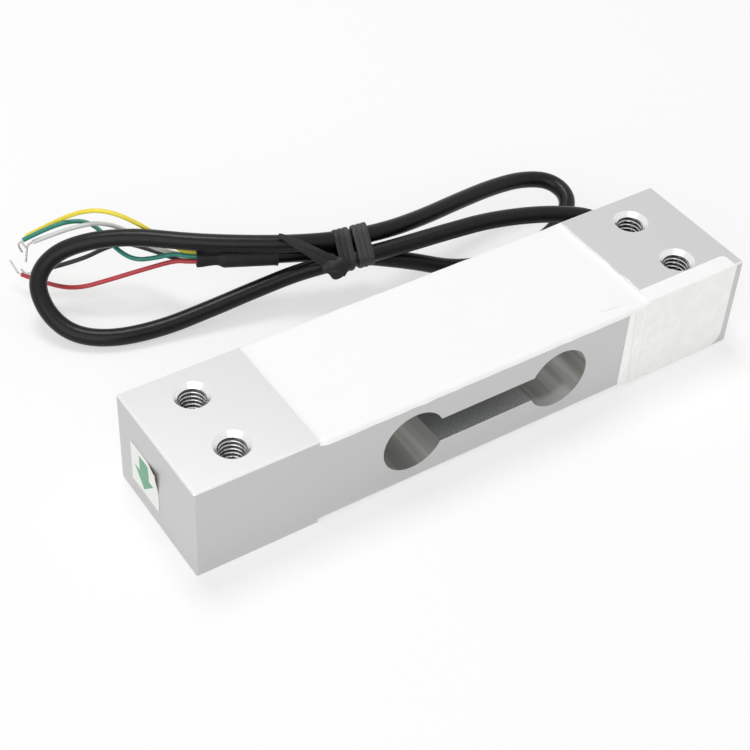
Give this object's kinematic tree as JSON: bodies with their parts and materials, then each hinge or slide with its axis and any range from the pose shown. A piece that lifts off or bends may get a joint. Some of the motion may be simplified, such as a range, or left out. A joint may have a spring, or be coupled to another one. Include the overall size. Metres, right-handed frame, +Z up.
{
  "type": "single point load cell",
  "caption": "Single point load cell: slim milled aluminium bar with joined bores, tapped holes, white silicone over the gauges and a tied cable with coloured leads.",
  "frame": {"origin": "middle of the bar's underside", "axes": "+X towards the fixed, cable end; -Y is the front face with the wrap label; +Z up"},
  "size_m": [0.1302, 0.0967, 0.0222],
  "materials": {
    "aluminium_milled": "milled satin",
    "silicone_white": "soft satin",
    "label_white": "matt paper film",
    "sticker_white": "matt",
    "jacket_black": "satin PVC",
    "tie_black": "matt",
    "sleeve_black": "satin",
    "wire_yellow": "gloss",
    "wire_green": "gloss",
    "wire_red": "gloss",
    "wire_black": "gloss",
    "wire_white": "gloss",
    "tinned_copper": "tinned",
    "foil_gauge": "polyimide film",
    "board_green": "solder mask",
    "chip_black": "matt",
    "enamel_copper": "enamelled",
    "epoxy_black": "cured epoxy"
  },
  "bodies": {
    "root": {"spring_body": "aluminium_milled", "top_silicone": "silicone_white", "bottom_silicone": "silicone_white", "side_label": "label_white", "arrow_sticker": "sticker_white", "bridge_board": "board_green", "terminal_strip": "board_green", "trim_resistors": "chip_black", "gauge_wires": "enamel_copper", "supply_wires": "enamel_copper", "link_wires": "enamel_copper", "gauge_top_loaded": "foil_gauge", "gauge_top_fixed": "foil_gauge", "gauge_bottom_loaded": "foil_gauge", "gauge_bottom_fixed": "foil_gauge", "cable": "jacket_black", "cable_seal": "epoxy_black", "heat_shrink_sleeve": "sleeve_black", "lead_yellow": "wire_yellow", "lead_green": "wire_green", "lead_red": "wire_red", "lead_black": "wire_black", "lead_white": "wire_white", "tinned_ends": "tinned_copper", "cable_tie": "tie_black"}
  },
  "joints": []
}
